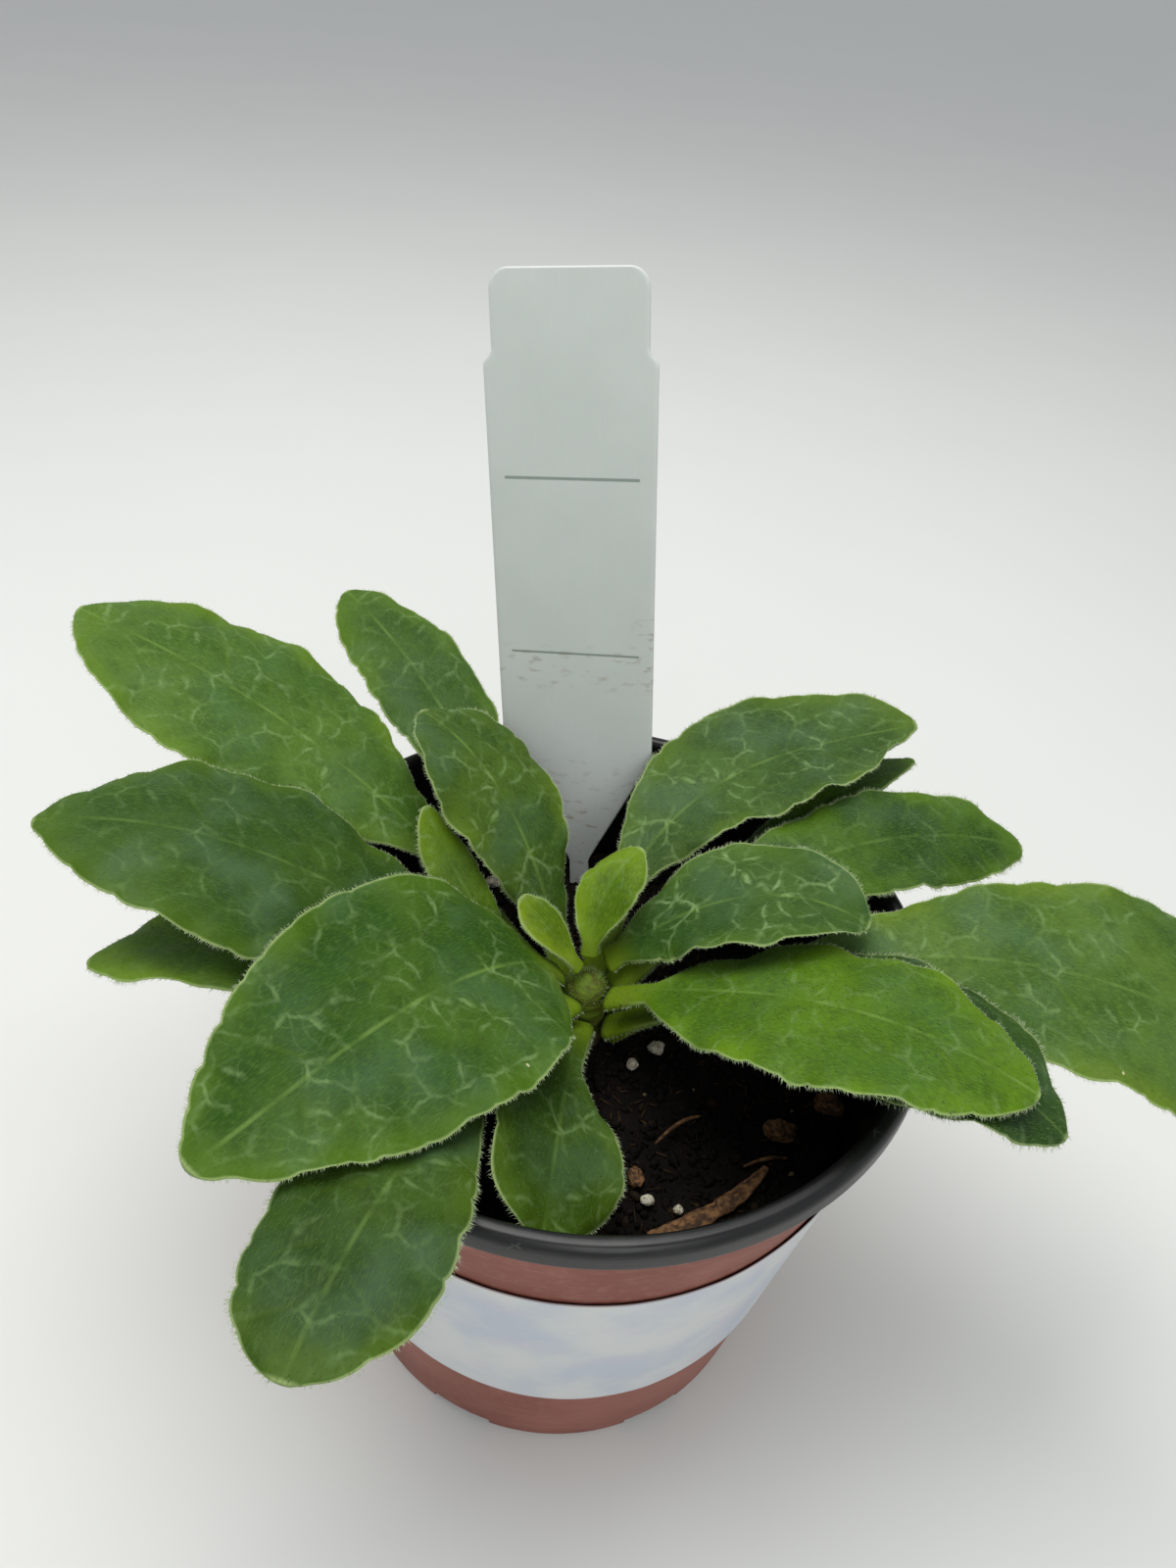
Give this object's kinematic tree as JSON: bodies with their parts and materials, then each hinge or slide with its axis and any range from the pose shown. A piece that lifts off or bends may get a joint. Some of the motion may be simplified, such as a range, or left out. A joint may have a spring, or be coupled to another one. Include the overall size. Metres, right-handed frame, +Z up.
{
  "type": "potted primulina",
  "caption": "Young primulina rosette of fleshy, hairy, pale-veined leaves in a round two-tone nursery pot with potting mix, a blank stake tag and a blank wrap label.",
  "frame": {"origin": "centre of the pot's base, on the surface it stands on", "axes": "+Z up along the pot's axis; -Y towards the side that the label and the small front leaf face; +X to the right seen from there"},
  "size_m": [0.2198, 0.1576, 0.1864],
  "materials": {
    "pot_shell": "matte two-tone nursery plastic, brick outside and black inside and on the rim",
    "label_film": "satin printed film, pale blue-grey",
    "potting_mix": "moist dark peat mix",
    "stem": "fleshy green-brown stem",
    "tag_plastic": "pale grey-white sheet plastic",
    "leaf": "fleshy hairy leaf with pale veins",
    "young_leaf": "young yellower hairy leaf",
    "perlite": "dirty white porous grain",
    "bark": "rough brown bark",
    "fibre": "thin brown fibre"
  },
  "bodies": {
    "root": {"pot": "pot_shell", "pot_label": "label_film", "soil": "potting_mix", "crown": "stem", "plant_tag": "tag_plastic", "leaf_back_left_outer": "leaf", "leaf_back_upright": "leaf", "leaf_left_outer": "leaf", "leaf_back_left_inner": "leaf", "leaf_left_inner": "leaf", "leaf_front_left_broad": "leaf", "leaf_front_left_hanging": "leaf", "leaf_front_small": "leaf", "leaf_right_front": "leaf", "leaf_right_front_under": "leaf", "leaf_right_outer": "leaf", "leaf_right_inner": "leaf", "leaf_back_right_broad": "leaf", "leaf_right_middle": "leaf", "leaf_back_right_under": "leaf", "leaf_left_under": "leaf", "leaf_young_centre": "young_leaf", "leaf_bud": "young_leaf", "perlite_front": "perlite", "perlite_small": "perlite", "perlite_rim": "perlite", "perlite_crumb": "perlite", "perlite_back": "perlite", "perlite_left": "perlite", "bark_chip_right": "bark", "bark_chip_front": "bark", "bark_chip_middle": "bark", "bark_chip_back": "bark", "bark_chip_left": "bark", "bark_strip": "bark", "fibre_front": "fibre", "fibre_right": "fibre"}
  },
  "joints": []
}
